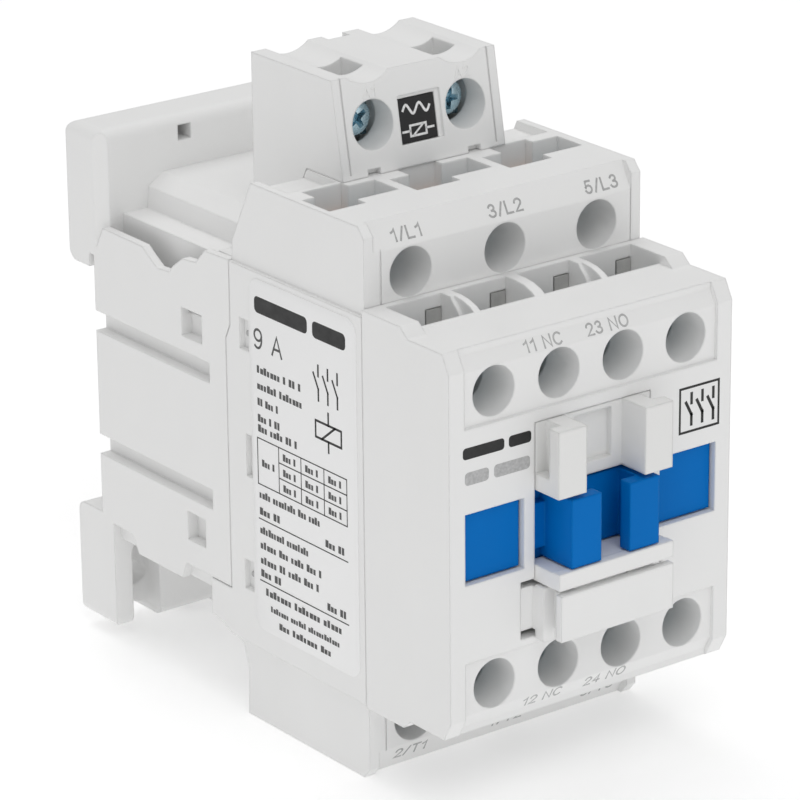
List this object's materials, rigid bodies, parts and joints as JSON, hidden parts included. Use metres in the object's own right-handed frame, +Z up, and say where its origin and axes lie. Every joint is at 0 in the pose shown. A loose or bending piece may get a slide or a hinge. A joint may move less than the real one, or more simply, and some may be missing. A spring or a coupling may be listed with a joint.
{
  "type": "din rail contactor",
  "caption": "Three-pole contactor for a 35 mm top-hat rail, with coil terminals on top, blue moving carrier, power bridges, break and make auxiliary contacts and a sprung rail clip.",
  "frame": {"origin": "centre of the rail seat: on the plane of the rail's front face, at half the rail's height and half the width", "axes": "+X to the right seen from the front, +Y to the rear into the rail, +Z up; the front faces -Y"},
  "size_m": [0.0451, 0.0876, 0.0866],
  "materials": {
    "housing_plastic": "light grey moulded plastic, fine spark-eroded texture",
    "hook_plastic": "off-white moulded plastic",
    "blue_plastic": "blue moulded plastic, satin",
    "black_plastic": "black moulded plastic",
    "label_film": "printed white film",
    "black_rubber": "soft moulded rubber",
    "lamination_steel": "stacked electrical steel sheets",
    "spring_steel": "drawn wire",
    "zinc_steel": "bright blue-passivated zinc plating",
    "copper_alloy": "stamped copper with silver tips",
    "brass_strip": "stamped brass",
    "enamelled_copper": "enamelled copper wire, wound"
  },
  "bodies": {
    "housing": {"base_housing": "housing_plastic", "contact_housing": "housing_plastic", "front_housing": "housing_plastic", "coil_terminal_block": "housing_plastic", "guide_hooks": "hook_plastic", "guide_shelf": "housing_plastic", "rating_label": "label_film", "coil_plate": "black_plastic", "return_springs": "spring_steel", "fixed_core": "lamination_steel", "shading_rings": "copper_alloy", "core_cushion": "black_rubber", "coil_bobbin": "black_plastic", "coil_winding": "enamelled_copper", "coil_terminal_a1": "brass_strip", "coil_terminal_a2": "brass_strip", "coil_clamps": "zinc_steel", "coil_screws": "zinc_steel", "fixed_contact_l1": "copper_alloy", "fixed_contact_l2": "copper_alloy", "fixed_contact_l3": "copper_alloy", "fixed_contact_t1": "copper_alloy", "fixed_contact_t2": "copper_alloy", "fixed_contact_t3": "copper_alloy", "line_clamps": "zinc_steel", "load_clamps": "zinc_steel", "line_screws": "zinc_steel", "load_screws": "zinc_steel", "aux_terminal_11": "brass_strip", "aux_terminal_12": "brass_strip", "aux_terminal_23": "brass_strip", "aux_terminal_24": "brass_strip", "spare_terminals": "brass_strip", "aux_clamps": "zinc_steel", "aux_screws": "zinc_steel", "clip_spring": "spring_steel"},
    "carrier": {"contact_carrier": "blue_plastic", "armature": "lamination_steel", "armature_pin": "spring_steel", "power_spring_1": "spring_steel", "power_spring_2": "spring_steel", "power_spring_3": "spring_steel", "aux_spring_nc": "spring_steel", "aux_spring_no": "spring_steel"},
    "bridge_1": {"power_bridge_1": "copper_alloy"},
    "bridge_2": {"power_bridge_2": "copper_alloy"},
    "bridge_3": {"power_bridge_3": "copper_alloy"},
    "bridge_nc": {"aux_bridge_nc": "copper_alloy"},
    "bridge_no": {"aux_bridge_no": "copper_alloy"},
    "rail_clip": {"din_clip": "housing_plastic"},
    "latch": {"block_latch": "housing_plastic"}
  },
  "joints": [
    {"name": "carrier_stroke", "type": "slide", "parent": "housing", "child": "carrier", "axis": [0, 1, 0], "range_m": [0, 0.0055], "stiffness_N_per_m": 600, "springref_m": -0.005, "deforming": ["return_springs"]},
    {"name": "clip_pull", "type": "slide", "parent": "housing", "child": "rail_clip", "axis": [0, 0, -1], "range_m": [0, 0.0035], "stiffness_N_per_m": 900, "springref_m": -0.003, "deforming": ["clip_spring"]},
    {"name": "latch_push", "type": "slide", "parent": "housing", "child": "latch", "axis": [0, 0, -1], "range_m": [0, 0.0007], "stiffness_N_per_m": 800, "springref_m": -0.0015},
    {"name": "power_lag_1", "type": "slide", "parent": "carrier", "child": "bridge_1", "axis": [0, -1, 0], "range_m": [0, 0.002], "deforming": ["power_spring_1"]},
    {"name": "power_lag_2", "type": "slide", "parent": "carrier", "child": "bridge_2", "axis": [0, -1, 0], "range_m": [0, 0.002], "deforming": ["power_spring_2"]},
    {"name": "power_lag_3", "type": "slide", "parent": "carrier", "child": "bridge_3", "axis": [0, -1, 0], "range_m": [0, 0.002], "deforming": ["power_spring_3"]},
    {"name": "aux_lag_nc", "type": "slide", "parent": "carrier", "child": "bridge_nc", "axis": [0, -1, 0], "range_m": [0, 0.002], "deforming": ["aux_spring_nc"]},
    {"name": "aux_lag_no", "type": "slide", "parent": "carrier", "child": "bridge_no", "axis": [0, -1, 0], "range_m": [0, 0.002], "deforming": ["aux_spring_no"]}
  ],
  "couplings": [
    {"joint": "power_lag_1", "follows": "carrier_stroke", "ratio": 0.36364},
    {"joint": "power_lag_2", "follows": "carrier_stroke", "ratio": 0.36364},
    {"joint": "power_lag_3", "follows": "carrier_stroke", "ratio": 0.36364},
    {"joint": "aux_lag_nc", "follows": "carrier_stroke", "ratio": 0.36364},
    {"joint": "aux_lag_no", "follows": "carrier_stroke", "ratio": 0.36364}
  ]
}
